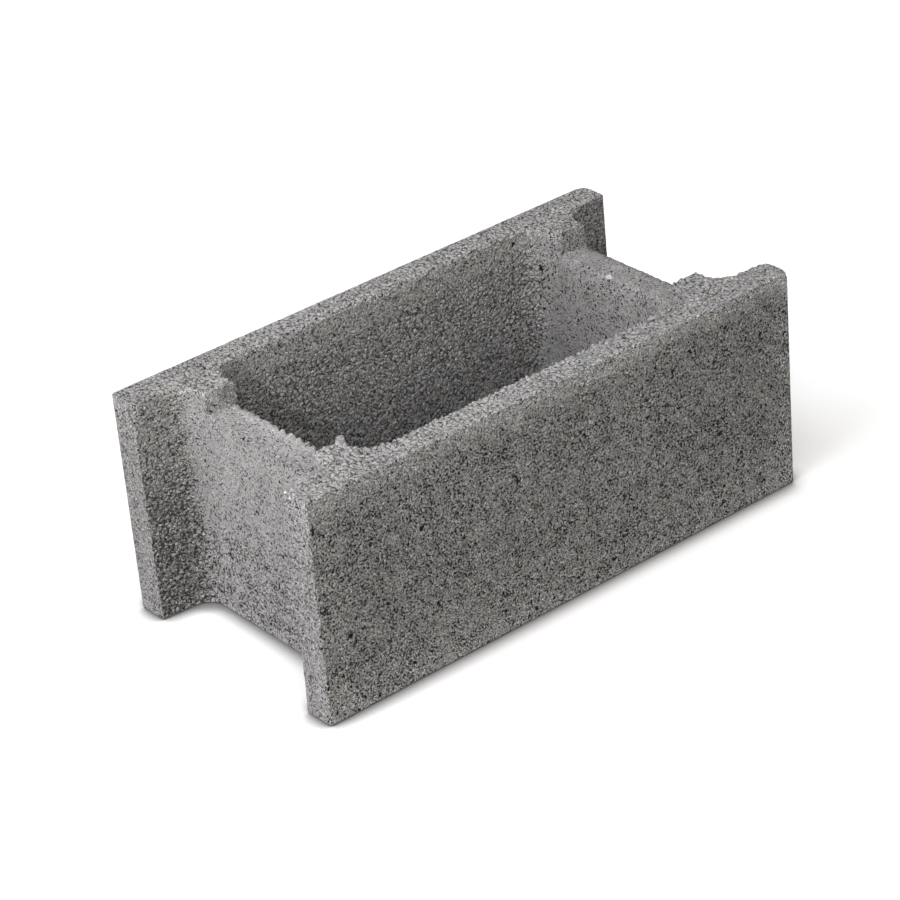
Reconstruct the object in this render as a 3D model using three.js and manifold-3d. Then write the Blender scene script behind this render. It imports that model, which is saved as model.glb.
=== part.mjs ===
// Hollow concrete shuttering block, cast in one piece.
//
// Two long face shells stand on edge and two cross webs join them. The webs close a
// large core that is open above and below, and they stand back from the ends, so each
// end has a recess between two wings. The middle of each web is lowered into a saddle
// that takes the reinforcement and lets the fill run from block to block.
//
// Units are millimetres. X runs along the block, Y across it, Z up. The origin is in the
// middle of the bed face, and the block stands on Z = 0 as it is laid.

import * as THREE from "three";
import { mergeVertices } from "three/addons/utils/BufferGeometryUtils.js";
import Module from "manifold-3d";

// ---------------------------------------------------------------- driving dimensions

// Overall size of the casting.
const BLOCK_LENGTH = 500;
const BLOCK_WIDTH = 250;
const BLOCK_HEIGHT = 200;

// Walls, measured at the top of the block, where the mould taper leaves them thinnest.
const SHELL_THICKNESS = 26.5;
const WEB_THICKNESS = 28;
const WING_TIP_THICKNESS = 28;
const WING_ROOT_THICKNESS = 31.5;

// Distance from the end plane back to the outer face of the web.
const RECESS_DEPTH = 49.5;

// Plan fillets where the walls meet.
const CORE_CORNER_RADIUS = 24;
const RECESS_CORNER_RADIUS = 19;

// Mould taper: how far each wall face leans in over the height of the block.
const CORE_TAPER = 3;
const RECESS_TAPER = 2.5;

// Saddle in the top of each web.
const SADDLE_WIDTH = 136;
const SADDLE_DEPTH = 21;
const SADDLE_TAPER = 1.5;

// Rounded edges.
const CORNER_RADIUS = 2.5;
const ARRIS_RADIUS = 2;
const TOP_RIM_RADIUS = 3;
const FOOT_RIM_RADIUS = 2;
const WING_LIP_RADIUS = 2.5;
const WEB_EDGE_RADIUS = 4;
const SADDLE_LIP_RADIUS = 2.5;

// Straight steps in each quarter turn. Both are even, because three.js draws an arc with
// two steps for each division that it is asked for.
const CORNER_STEPS = 8;
const EDGE_STEPS = 4;

// How far a cutter runs past the surface that it opens.
const OVERRUN = 10;

// Concrete as it shows when dry.
const CONCRETE_COLOUR = 0x8f8d8a;
const CONCRETE_ROUGHNESS = 0.95;
const CONCRETE_METALNESS = 0;

// ------------------------------------------------------------------- derived places

const halfLength = BLOCK_LENGTH / 2;
const halfWidth = BLOCK_WIDTH / 2;
const webOuterFace = halfLength - RECESS_DEPTH;
const webInnerFace = webOuterFace - WEB_THICKNESS;
const coreHalfWidth = halfWidth - SHELL_THICKNESS;
const saddleFloor = BLOCK_HEIGHT - SADDLE_DEPTH;

// --------------------------------------------------------------------------- shapes

/** A rounded rectangle centred on the origin, as a closed three.js shape. */
function roundedRectangle(halfX, halfY, radius) {
  const shape = new THREE.Shape();
  shape.absarc(halfX - radius, halfY - radius, radius, 0, Math.PI / 2);
  shape.absarc(radius - halfX, halfY - radius, radius, Math.PI / 2, Math.PI);
  shape.absarc(radius - halfX, radius - halfY, radius, Math.PI, 1.5 * Math.PI);
  shape.absarc(halfX - radius, radius - halfY, radius, 1.5 * Math.PI, 2 * Math.PI);
  shape.closePath();
  return shape;
}

/** Divisions that give an arc of a quarter turn the stated number of straight steps. */
function divisions(steps) {
  return steps / 2;
}

/** Points of a shape in counter-clockwise order, with no repeated corner. */
function ringPoints(shape, steps) {
  const points = shape.getPoints(divisions(steps));
  const smallest = 1e-6;
  const distinct = points.filter((point, index) => {
    const previous = points[(index + points.length - 1) % points.length];
    return point.distanceTo(previous) > smallest;
  });
  return THREE.ShapeUtils.isClockWise(distinct) ? distinct.reverse() : distinct;
}

/**
 * Closed loft through level rings. Each section is { height, shape }, from the lowest
 * to the highest, and every shape gives the same number of points.
 */
function loft(sections, steps) {
  const rings = sections.map((section) => ringPoints(section.shape, steps));
  const count = rings[0].length;
  const positions = rings.flatMap((ring, level) => (
    ring.flatMap((point) => [point.x, point.y, sections[level].height])
  ));
  const indices = [];
  for (let level = 0; level < rings.length - 1; level += 1) {
    for (let corner = 0; corner < count; corner += 1) {
      const next = (corner + 1) % count;
      const lower = level * count;
      const upper = lower + count;
      indices.push(lower + corner, lower + next, upper + next);
      indices.push(lower + corner, upper + next, upper + corner);
    }
  }
  const topStart = (rings.length - 1) * count;
  for (const [a, b, c] of THREE.ShapeUtils.triangulateShape(rings[0], [])) {
    indices.push(a, c, b);
  }
  for (const [a, b, c] of THREE.ShapeUtils.triangulateShape(rings.at(-1), [])) {
    indices.push(topStart + a, topStart + b, topStart + c);
  }
  const geometry = new THREE.BufferGeometry();
  geometry.setAttribute("position", new THREE.Float32BufferAttribute(positions, 3));
  geometry.setIndex(indices);
  return geometry;
}

/**
 * Heights of a mould cutter with the distance that its outline stands in from its size
 * at the top. The taper runs evenly from top to bed, and quarter rounds at both rims
 * flare the cutter out again.
 */
function taperedLevels(taper) {
  const inset = (height) => taper * (1 - height / BLOCK_HEIGHT);
  const levels = [{ height: -OVERRUN, inset: inset(0) - FOOT_RIM_RADIUS }];
  for (let step = 0; step <= EDGE_STEPS; step += 1) {
    const angle = (step / EDGE_STEPS) * (Math.PI / 2);
    const height = FOOT_RIM_RADIUS * (1 - Math.cos(angle));
    levels.push({ height, inset: inset(height) - FOOT_RIM_RADIUS * (1 - Math.sin(angle)) });
  }
  for (let step = 0; step <= EDGE_STEPS; step += 1) {
    const angle = (step / EDGE_STEPS) * (Math.PI / 2);
    const height = BLOCK_HEIGHT - TOP_RIM_RADIUS * (1 - Math.sin(angle));
    levels.push({ height, inset: inset(height) - TOP_RIM_RADIUS * (1 - Math.cos(angle)) });
  }
  levels.push({ height: BLOCK_HEIGHT + OVERRUN, inset: inset(BLOCK_HEIGHT) - TOP_RIM_RADIUS });
  return levels;
}

// ------------------------------------------------------------------------- the block

/** The full casting before any hollow: a box with rounded corners and arrises. */
function blankGeometry() {
  const outline = roundedRectangle(halfLength, halfWidth, CORNER_RADIUS);
  const geometry = new THREE.ExtrudeGeometry(outline, {
    depth: BLOCK_HEIGHT - 2 * ARRIS_RADIUS,
    curveSegments: divisions(EDGE_STEPS),
    bevelThickness: ARRIS_RADIUS,
    bevelSize: ARRIS_RADIUS,
    bevelOffset: -ARRIS_RADIUS,
    bevelSegments: EDGE_STEPS,
  });
  return geometry.translate(0, 0, ARRIS_RADIUS);
}

/** The core between the shells and the webs, tapered and open above and below. */
function coreGeometry() {
  const sections = taperedLevels(CORE_TAPER).map(({ height, inset }) => ({
    height,
    shape: roundedRectangle(
      webInnerFace - inset,
      coreHalfWidth - inset,
      CORE_CORNER_RADIUS - inset,
    ),
  }));
  return loft(sections, CORNER_STEPS);
}

/**
 * Plan of the recess at the +X end. It starts at the web with two fillets, widens
 * along the slanting wing faces, and flares out over the rounded lips of the wings.
 */
function recessOutline(inset) {
  const webFace = webOuterFace + inset;
  const rootHalf = halfWidth - WING_ROOT_THICKNESS - inset;
  const tipHalf = halfWidth - WING_TIP_THICKNESS - inset;
  const radius = RECESS_CORNER_RADIUS - inset;
  const slant = Math.atan2(tipHalf - rootHalf, RECESS_DEPTH);

  // The fillet touches the web face and the slanting wing face.
  const filletX = webFace + radius;
  const wingFaceAt = (x) => rootHalf + (x - webOuterFace) * Math.tan(slant);
  const filletY = wingFaceAt(filletX) - radius / Math.cos(slant);

  // The lip touches the slanting wing face and the end plane.
  const lipX = halfLength - WING_LIP_RADIUS;
  const lipY = wingFaceAt(lipX) + WING_LIP_RADIUS / Math.cos(slant);

  const outside = halfLength + OVERRUN;
  const filletEnd = Math.PI / 2 + slant;
  const lipStart = slant - Math.PI / 2;
  const shape = new THREE.Shape();
  shape.moveTo(outside, -lipY);
  shape.lineTo(outside, lipY);
  shape.absarc(lipX, lipY, WING_LIP_RADIUS, 0, lipStart, true);
  shape.absarc(filletX, filletY, radius, filletEnd, Math.PI);
  shape.absarc(filletX, -filletY, radius, Math.PI, 2 * Math.PI - filletEnd);
  shape.absarc(lipX, -lipY, WING_LIP_RADIUS, -lipStart, 0, true);
  shape.closePath();
  return shape;
}

/** The recess between the wings at the +X end, tapered like the core. */
function recessGeometry() {
  const sections = taperedLevels(RECESS_TAPER).map(({ height, inset }) => ({
    height,
    shape: recessOutline(inset),
  }));
  return loft(sections, CORNER_STEPS);
}

/** What the saddle takes off the +X web, seen from the end: a trough with round lips. */
function saddleTrough() {
  const top = BLOCK_HEIGHT + OVERRUN;
  const lipHeight = BLOCK_HEIGHT - SADDLE_LIP_RADIUS;
  const lipCentre = SADDLE_WIDTH / 2 + SADDLE_LIP_RADIUS;
  const floorHalf = SADDLE_WIDTH / 2 - SADDLE_TAPER;
  const shape = new THREE.Shape();
  shape.moveTo(-floorHalf, saddleFloor - OVERRUN);
  shape.lineTo(floorHalf, saddleFloor - OVERRUN);
  shape.lineTo(floorHalf, saddleFloor);
  shape.absarc(lipCentre, lipHeight, SADDLE_LIP_RADIUS, Math.PI, Math.PI / 2, true);
  shape.lineTo(lipCentre, top);
  shape.lineTo(-lipCentre, top);
  shape.absarc(-lipCentre, lipHeight, SADDLE_LIP_RADIUS, Math.PI / 2, 0, true);
  shape.lineTo(-floorHalf, saddleFloor);
  shape.closePath();
  const run = WEB_THICKNESS + 2 * OVERRUN;
  const geometry = new THREE.ExtrudeGeometry(shape, {
    depth: run,
    curveSegments: divisions(EDGE_STEPS),
    bevelEnabled: false,
  });
  // The profile's own axes turn to Y and Z, and its depth to X.
  geometry.rotateX(Math.PI / 2).rotateZ(Math.PI / 2);
  return geometry.translate(webInnerFace - OVERRUN, 0, 0);
}

/** What the saddle takes off the +X web, seen from the side: all above its round top. */
function saddleCrown() {
  const spring = saddleFloor - WEB_EDGE_RADIUS;
  const below = 1 - spring / BLOCK_HEIGHT;
  const inner = webInnerFace - CORE_TAPER * below;
  const outer = webOuterFace + RECESS_TAPER * below;
  const top = BLOCK_HEIGHT + OVERRUN;
  const shape = new THREE.Shape();
  shape.moveTo(inner - OVERRUN, top);
  shape.lineTo(inner - OVERRUN, spring);
  shape.lineTo(inner, spring);
  shape.absarc(inner + WEB_EDGE_RADIUS, spring, WEB_EDGE_RADIUS, Math.PI, Math.PI / 2, true);
  shape.absarc(outer - WEB_EDGE_RADIUS, spring, WEB_EDGE_RADIUS, Math.PI / 2, 0, true);
  shape.lineTo(outer + OVERRUN, spring);
  shape.lineTo(outer + OVERRUN, top);
  shape.closePath();
  const geometry = new THREE.ExtrudeGeometry(shape, {
    depth: SADDLE_WIDTH + 2 * OVERRUN,
    curveSegments: divisions(EDGE_STEPS),
    bevelEnabled: false,
  });
  // The profile's own axes turn to X and Z, and its depth to Y.
  geometry.rotateX(Math.PI / 2);
  return geometry.translate(0, SADDLE_WIDTH / 2 + OVERRUN, 0);
}

// -------------------------------------------------------------------------- booleans

const wasm = await Module();
wasm.setup();

/** A closed three.js geometry as a solid that can be joined and cut. */
function toSolid(geometry) {
  const bare = geometry.clone();
  bare.deleteAttribute("normal");
  bare.deleteAttribute("uv");
  const merged = mergeVertices(bare);
  return new wasm.Manifold(new wasm.Mesh({
    numProp: 3,
    vertProperties: new Float32Array(merged.attributes.position.array),
    triVerts: new Uint32Array(merged.index.array),
  }));
}

/** A solid back as a three.js geometry with flat facets. */
function toGeometry(solid) {
  const mesh = solid.getMesh();
  const geometry = new THREE.BufferGeometry();
  geometry.setAttribute("position", new THREE.BufferAttribute(mesh.vertProperties, 3));
  geometry.setIndex(new THREE.BufferAttribute(mesh.triVerts, 1));
  geometry.computeVertexNormals();
  return geometry;
}

/** The casting: the blank less the core, and less a recess and a saddle at each end. */
function castBlock() {
  const recess = toSolid(recessGeometry());
  const saddle = toSolid(saddleTrough()).intersect(toSolid(saddleCrown()));
  let casting = toSolid(blankGeometry()).subtract(toSolid(coreGeometry()));
  for (const turn of [0, 180]) {
    casting = casting.subtract(recess.rotate([0, 0, turn]));
    casting = casting.subtract(saddle.rotate([0, 0, turn]));
  }
  return toGeometry(casting);
}

const concrete = new THREE.MeshStandardMaterial({
  color: CONCRETE_COLOUR,
  roughness: CONCRETE_ROUGHNESS,
  metalness: CONCRETE_METALNESS,
});

const block = new THREE.Mesh(castBlock(), concrete);
block.name = "shuttering_block";

const part = new THREE.Group();
part.name = "concrete_shuttering_block";
part.add(block);

export default part;
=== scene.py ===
"""Looks of a hollow concrete shuttering block.

The block is one casting of no-slump concrete. Its skin is a pressed mass of grains with
open gaps between them. The gaps are widest on the walls that the mould's cores pull
along, where the grains also hang together in lumps. They are smeared shut where the
mould's shoe slid over the paste. The script lays that relief over the fixed frame,
dresses it, and sets up the floor, the light and the camera.
"""

from __future__ import annotations

import logging
import math
from dataclasses import dataclass, field
from enum import Enum
from typing import Union

import bmesh
import bpy
import numpy as np
from mathutils import Matrix, Vector
from mathutils.kdtree import KDTree


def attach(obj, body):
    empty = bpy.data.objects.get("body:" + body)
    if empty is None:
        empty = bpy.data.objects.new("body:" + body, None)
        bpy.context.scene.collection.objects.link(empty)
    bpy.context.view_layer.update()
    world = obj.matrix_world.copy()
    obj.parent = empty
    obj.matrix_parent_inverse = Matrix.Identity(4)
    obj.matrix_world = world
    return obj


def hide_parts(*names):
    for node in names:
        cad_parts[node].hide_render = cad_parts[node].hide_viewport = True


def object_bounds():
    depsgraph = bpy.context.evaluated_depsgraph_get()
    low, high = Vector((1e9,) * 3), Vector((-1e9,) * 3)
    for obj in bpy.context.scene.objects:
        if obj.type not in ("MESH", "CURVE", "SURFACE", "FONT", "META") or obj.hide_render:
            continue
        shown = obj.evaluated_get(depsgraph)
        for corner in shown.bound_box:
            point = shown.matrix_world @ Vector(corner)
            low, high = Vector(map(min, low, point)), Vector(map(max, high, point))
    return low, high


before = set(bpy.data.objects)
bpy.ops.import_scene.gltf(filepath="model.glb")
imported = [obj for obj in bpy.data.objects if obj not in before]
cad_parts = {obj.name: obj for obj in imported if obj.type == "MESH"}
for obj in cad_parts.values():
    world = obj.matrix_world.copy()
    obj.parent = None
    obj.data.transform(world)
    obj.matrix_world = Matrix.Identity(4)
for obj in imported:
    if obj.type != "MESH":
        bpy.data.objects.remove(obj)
CAD_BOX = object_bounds()

LOG = logging.getLogger("shuttering_block")

BLOCK_NODE = "shuttering_block"
BODY = "root"
MM = 0.001

Triple = tuple[float, float, float]
Pair = tuple[float, float]
Value = Union["Wire", float, Triple, str]


class Mask(Enum):
    """Names of the point attributes that steer the relief and the finish."""

    COARSE = "coarse"
    LEAN = "lean"
    PRESS = "press"
    # Paste brightness, with painted light and shade laid into it.
    TONE_AND_PAINTED_LIGHT = "tone"
    GRAIN = "grain"
    STAIN = "stain"
    SPOT = "spot"
    RIM = "rim"
    ARRIS = "arris"
    WORN = "worn"


Masks = dict[Mask, np.ndarray]


@dataclass(frozen=True)
class Graph:
    """A node tree of a material or of a mesh's relief."""

    tree: bpy.types.NodeTree

    def add(
        self, kind: str, values: dict[str | int, Value] | None = None, **settings: object
    ) -> bpy.types.Node:
        """Makes one node.

        Args:
            kind: The node's type name.
            values: What goes into its inputs, by their names or numbers.
            **settings: Values of the node's own properties.

        Returns:
            The new node.
        """
        node = self.tree.nodes.new(kind)
        for name, value in settings.items():
            setattr(node, name, value)
        self.feed(node, values or {})
        return node

    def feed(self, node: bpy.types.Node, values: dict[str | int, Value]) -> None:
        """Links or sets the inputs of a node.

        Args:
            node: The node.
            values: What goes into its inputs, by their names or numbers.
        """
        for name, value in values.items():
            if isinstance(value, Wire):
                self.tree.links.new(value.socket, node.inputs[name])
            else:
                node.inputs[name].default_value = value

    def wire(self, kind: str, *values: Value, output: int | str = 0, **settings: str) -> Wire:
        """Makes one node and takes one of its results.

        Args:
            kind: The node's type name.
            *values: What goes into its first inputs.
            output: The result's name or number.
            **settings: Values of the node's own properties.

        Returns:
            The result.
        """
        node = self.add(kind, dict(enumerate(values)), **settings)
        return Wire(self, node.outputs[output])

    def position(self) -> Wire:
        """Reads each place's own position.

        Returns:
            The position in metres.
        """
        if self.tree.type == "GEOMETRY":
            return self.wire("GeometryNodeInputPosition")
        return self.wire("ShaderNodeTexCoord", output="Object")

    def mask(self, mask: Mask) -> Wire:
        """Reads one mask.

        Args:
            mask: The mask.

        Returns:
            Its value.
        """
        if self.tree.type == "GEOMETRY":
            return self.wire("GeometryNodeInputNamedAttribute", mask.value, data_type="FLOAT")
        return self.wire("ShaderNodeAttribute", output="Fac", attribute_name=mask.value)


@dataclass(frozen=True)
class Wire:
    """A number, vector or colour in a node tree. Each sum on it adds a node."""

    graph: Graph
    socket: bpy.types.NodeSocket

    def __add__(self, other: Value) -> Wire:
        """This number and another."""
        return self.graph.wire("ShaderNodeMath", self, other, operation="ADD")

    def __sub__(self, other: Value) -> Wire:
        """This number less another."""
        return self.graph.wire("ShaderNodeMath", self, other, operation="SUBTRACT")

    def __rsub__(self, other: float) -> Wire:
        """A plain number less this one."""
        return self.graph.wire("ShaderNodeMath", other, self, operation="SUBTRACT")

    def __mul__(self, other: Value) -> Wire:
        """This number times another."""
        return self.graph.wire("ShaderNodeMath", self, other, operation="MULTIPLY")

    def math(self, operation: str, *others: Value) -> Wire:
        """Any other sum on this number, by the math node's name for it."""
        return self.graph.wire("ShaderNodeMath", self, *others, operation=operation)

    def vector(self, operation: str, *others: Value, output: str = "Vector") -> Wire:
        """A sum on this vector, by the vector math node's name for it.

        Args:
            operation: The vector math node's operation.
            *others: Vectors, or numbers that count in all three directions.
            output: "Vector", or "Value" where the result is a number.

        Returns:
            The result.
        """
        kind = "ShaderNodeVectorMath"
        return self.graph.wire(kind, self, *others, output=output, operation=operation)

    def channels(self) -> tuple[Wire, ...]:
        """The three channels of this vector or colour."""
        node = self.graph.add("ShaderNodeSeparateXYZ", {0: self})
        return tuple(Wire(self.graph, socket) for socket in node.outputs)

    def step(self, low: Value, high: Value) -> Wire:
        """A smooth step of this number.

        Args:
            low: Where the step starts. It may be above high, for a falling step.
            high: Where the step ends.

        Returns:
            0 up to low, and 1 from high.
        """
        kind = "ShaderNodeMapRange"
        return self.graph.wire(kind, self, low, high, interpolation_type="SMOOTHSTEP")

    def blend(self, low: Value, high: Value) -> Wire:
        """A number or a colour between two others.

        Args:
            low: What a factor of 0 gives. A colour is a plain tuple.
            high: What a factor of 1 gives.

        Returns:
            The blend, with this number as its factor.
        """
        if isinstance(low, tuple):
            values = {0: self, 6: (*low, 1.0), 7: (*high, 1.0)}
            node = self.graph.add("ShaderNodeMix", values, data_type="RGBA")
            return Wire(self.graph, node.outputs[2])
        node = self.graph.add("ShaderNodeMix", {0: self, 2: low, 3: high}, data_type="FLOAT")
        return Wire(self.graph, node.outputs[0])

    def noise(self, size: float) -> tuple[Wire, Wire]:
        """Soft random noise at this place, with one octave of finer noise.

        Args:
            size: Size of its largest features, in metres.

        Returns:
            The noise as a number and as a colour.
        """
        values = {"Vector": self, "Scale": 1.0 / size, "Detail": 1.0}
        outputs = self.graph.add("ShaderNodeTexNoise", values).outputs
        return Wire(self.graph, outputs["Fac"]), Wire(self.graph, outputs["Color"])

    def cells(self, size: float, feature: str = "F1") -> tuple[Wire, Wire]:
        """Closely packed random cells at this place.

        Args:
            size: Mean width of a cell, in metres.
            feature: What the distance is measured to: "F1" for the nearest middle.

        Returns:
            The distance in cell widths, and a random colour for each cell.
        """
        values = {"Vector": self, "Scale": 1.0 / size}
        outputs = self.graph.add("ShaderNodeTexVoronoi", values, feature=feature).outputs
        return Wire(self.graph, outputs["Distance"]), Wire(self.graph, outputs["Color"])

    def seams(self, size: float) -> Wire:
        """How far this place is from the border between two cells, in cell widths."""
        return self.cells(size, "F2")[0] - self.cells(size)[0]


@dataclass(frozen=True)
class Mark:
    """One single spot of the casting: a pit, a lump, a pale grain or a smear.

    Place and half_size are in millimetres. Sunk is how deep the spot lies, in
    millimetres, and is below zero for a lump; a sunk spot also gets the pits' painted shade.
    Pale is its brightness against the paste.
    The tint is full inside tint_core. The dent ends at dent_border and is full from
    dent_fade inside it. All three are shares of the half size.
    """

    place: Triple
    half_size: Triple
    sunk: float = 0.0
    pale: float = 1.0
    tint_core: float = 0.55
    dent_border: float = 1.1
    dent_fade: float = 0.6

    def tint(self, position: Wire) -> Wire:
        """The spot's brightness at a position.

        Args:
            position: The position in metres.

        Returns:
            The spot's own brightness inside it, and 1 outside it.
        """
        offset = position.vector("SUBTRACT", tuple(v * MM for v in self.place))
        offset = offset.vector("DIVIDE", tuple(v * MM for v in self.half_size))
        away = offset.vector("LENGTH", output="Value")
        return away.step(1.0, self.tint_core).blend(1.0, self.pale)

    def dent(self, places: np.ndarray) -> np.ndarray:
        """How deep the spot lies at each place.

        Args:
            places: Points in metres, one row each.

        Returns:
            Depths in millimetres.
        """
        offset = (places / MM - np.array(self.place)) / np.array(self.half_size)
        inside = (self.dent_border - np.linalg.norm(offset, axis=1)) / self.dent_fade
        return np.clip(inside, 0.0, 1.0) * self.sunk


MARKS = (
    # White grains beside the top of the front left corner.
    Mark((-250.0, -99.9, 199.4), (2.2, 2.2, 2.2), pale=4.2),
    Mark((-250.0, -105.9, 195.8), (1.4, 1.4, 1.4), pale=4.0),
    # A fresh chip on the right web's inner rim.
    Mark((174.2, 10.4, 177.7), (2.6, 3.6, 2.2), pale=2.1),
    # A lump pressed out of the front left corner of the core.
    Mark((-174.5, -70.0, 198.0), (5.5, 5.0, 5.0), sunk=-1.8, pale=1.12),
    # Pits in the top rims.
    Mark((102.1, 98.3, 200.0), (2.8, 2.0, 2.6), sunk=2.0),
    Mark((103.0, 110.0, 200.0), (1.7, 1.4, 1.7), sunk=1.2),
    Mark((-173.8, 103.3, 200.0), (2.0, 1.5, 1.8), sunk=1.4),
    # A slanting crack in the core's back right corner.
    Mark((166.3, 89.7, 163.6), (1.2, 1.2, 1.5), sunk=1.2),
    Mark((166.8, 89.0, 161.8), (1.2, 1.2, 1.5), sunk=1.4),
    Mark((167.3, 88.3, 160.0), (1.2, 1.2, 1.5), sunk=1.4),
    Mark((167.8, 87.4, 151.6), (1.2, 1.2, 1.8), sunk=1.0),
    # Pits in the core's back wall and in the right web.
    Mark((146.4, 98.3, 189.4), (1.2, 1.3, 1.8), sunk=1.4),
    Mark((166.3, 88.7, 123.8), (1.4, 1.4, 1.3), sunk=1.3),
    Mark((171.9, 35.9, 158.5), (1.3, 1.4, 1.4), sunk=1.4),
    Mark((171.4, 50.5, 123.8), (1.3, 1.2, 1.7), sunk=1.4),
    # Pits along the foot of the back left step.
    Mark((-197.0, 68.0, 181.3), (1.7, 1.4, 1.3), sunk=1.5),
    Mark((-190.0, 68.0, 180.3), (2.2, 1.4, 1.2), sunk=1.5),
    Mark((-183.0, 68.0, 178.8), (1.7, 1.4, 1.3), sunk=1.5),
    # Air holes in the outer faces.
    Mark((-201.0, -15.7, 10.5), (1.7, 1.7, 1.9), sunk=1.6),
    Mark((44.6, -125.0, 16.7), (1.7, 1.7, 1.7), sunk=1.8),
    Mark((-221.6, -125.0, 69.6), (1.7, 1.7, 2.0), sunk=1.8),
    Mark((-145.2, -125.0, 130.9), (1.8, 1.7, 1.5), sunk=1.6),
    # A damp smear under the front top edge.
    Mark((-14.9, -125.0, 188.6), (9.0, 3.0, 3.2), pale=0.86),
)

# The corners of the right end are worn round.
WORN = (
    Mark((250.0, 125.0, 200.0), (8.0, 7.0, 6.0), sunk=1.1),
    Mark((250.0, -125.0, 200.0), (8.0, 7.0, 7.0), sunk=1.2),
    Mark((250.0, -98.0, 200.0), (7.0, 6.0, 6.0), sunk=0.8),
)


@dataclass(frozen=True)
class Laid:
    """What the relief's nodes give.

    Height is in millimetres, 0 on the mould's face and below zero under it. Depth is how
    far the grains lie below the pressed level. The tones are random from 0 to 1, one for
    each grain, and the mesh has no sand.
    """

    height: Wire
    depth: Wire
    stone_tone: Wire
    grit_tone: Wire
    sand_tone: Wire | None


@dataclass(frozen=True)
class GrainRelief:
    """The heights of pressed concrete in millimetres, from 0 on the mould's face down.

    Stones, grit and sand are rounded grains of three sizes. The highest grain shows at
    each place, and the mould presses its top flat. The gaps between them are filled up
    to a depth that grows where the mix is lean. Some joints between stones stay open,
    and a few stones are replaced by a bubble of air. On coarse faces the grains hang
    together in lumps, with dips and thin cracks between them.

    Widths, reaches and sizes are in metres. Depths, levels and heights are in
    millimetres. A seam's width is measured in the widths of its own cells.
    """

    # Widths of the grains and of the lumps.
    stone: float = 3.2 * MM
    grit: float = 1.9 * MM
    sand: float = 1.0 * MM
    dust: float = 0.6 * MM
    lump: float = 4.1 * MM
    # The noise that bends the grains' outlines.
    warp_size: float = 3.0 * MM
    warp_reach: float = 0.9 * MM
    # The grains' tops, and how far they sink or go missing.
    crown: float = 0.45
    fall: float = 1.05
    stone_fall: float = 0.8
    stone_sunk: float = 1.6
    grit_sunk: float = 0.6
    grit_shows: float = 0.5
    grit_missing: float = 0.6
    sand_missing: float = 1.0
    missing_drop: float = 1.1
    join_round: float = 0.2
    # The level that loose and pressed tops lie at.
    levels: Pair = (1.05, -0.05)
    # The gaps' bed and greatest depth, where the mix is rich and where it is lean.
    bed: Pair = (0.25, -0.55)
    most_depth: Pair = (0.6, 1.3)
    # Where a face counts as loose and no longer as fine.
    loose_limits: Pair = (0.3, 0.55)
    # Joints between stones, on fine and on loose faces, or in a rich and a lean mix.
    joint_widths: Pair = (0.42, 0.20)
    joint_depth: float = 1.4
    joint_least: Pair = (0.72, 0.42)
    joint_softness: Pair = (0.05, 0.14)
    loose_shut: float = 0.02
    opening: float = 1.8 * MM
    # Dips and cracks between lumps.
    lump_limits: Pair = (0.15, 0.62)
    lump_reach: float = 0.5
    swell: float = 2.3
    crack_limits: Pair = (0.40, 0.54)
    crack_width: float = 0.12
    crack_depth: float = 1.2
    seam_floor: float = 0.35
    # Air holes.
    hole_share: float = 0.05
    hole_depth: float = 2.0
    hole_radii: Pair = (0.16, 0.34)
    hole_floor: float = 0.4
    # Dust, and how much relief the outer edges keep.
    dust_height: float = 0.6
    arris_share: float = 0.5

    def loose(self, graph: Graph) -> Wire:
        """How far a face is loose, with lumps, and not fine, with pits."""
        return graph.mask(Mask.COARSE).step(*self.loose_limits)

    def dome(self, distance: Wire, size: float, fall: float) -> Wire:
        """Height of a grain's round top, from the distance to its middle in grain widths."""
        return (self.crown - distance * distance * fall) * (size / MM)

    def grains(self, place: Wire, size: float, missing: Wire) -> tuple[Wire, Wire]:
        """Rounded grains of one size.

        Args:
            place: The position.
            size: Mean width of a grain, in metres.
            missing: The share of the grains that aren't there.

        Returns:
            The grains' height in millimetres, and a random tone for each grain.
        """
        distance, colour = place.cells(size)
        tone, chance, _ = colour.channels()
        gone = chance.math("LESS_THAN", missing) * (self.missing_drop * size / MM)
        return self.dome(distance, size, self.fall) - gone, tone

    def holes(self, distance: Wire, colour: Wire, lean: Wire) -> Wire:
        """Air holes, in the middle of a few stones' places.

        Args:
            distance: Distance to the nearest stone's middle, in stone widths.
            colour: The stone's random colour.
            lean: How lean the mix is there.

        Returns:
            The holes' depth in millimetres.
        """
        _, chance, size = colour.channels()
        radius = size.blend(*self.hole_radii)
        bowl = distance.step(radius, radius * self.hole_floor)
        return bowl * chance.math("LESS_THAN", lean * self.hole_share) * self.hole_depth

    def slit(self, seam: Wire, widest: Value, opened: Wire, depth: float) -> Wire:
        """A seam that stands open.

        Args:
            seam: Distance from the seam, in cell widths.
            widest: The width of a seam that is fully open.
            opened: How far the seam is open, from 0 to 1.
            depth: The depth of a seam that is fully open, in millimetres.

        Returns:
            The depth in millimetres.
        """
        width = opened * widest
        return seam.step(width, width * self.seam_floor) * opened * depth

    def joints(self, graph: Graph, seam: Wire, chance: Wire) -> Wire:
        """Open joints between stones: round pits on fine faces, thin on loose ones.

        Args:
            graph: Where the nodes go.
            seam: Distance from the stones' borders, in stone widths.
            chance: Soft noise that opens some joints and shuts others.

        Returns:
            The joints' depth in millimetres.
        """
        loose = self.loose(graph)
        least = graph.mask(Mask.LEAN).blend(*self.joint_least)
        least += loose * self.loose_shut
        soft = loose.blend(*self.joint_softness)
        width = graph.mask(Mask.COARSE).blend(*self.joint_widths)
        return self.slit(seam, width, chance.step(least, least + soft), self.joint_depth)

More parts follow.
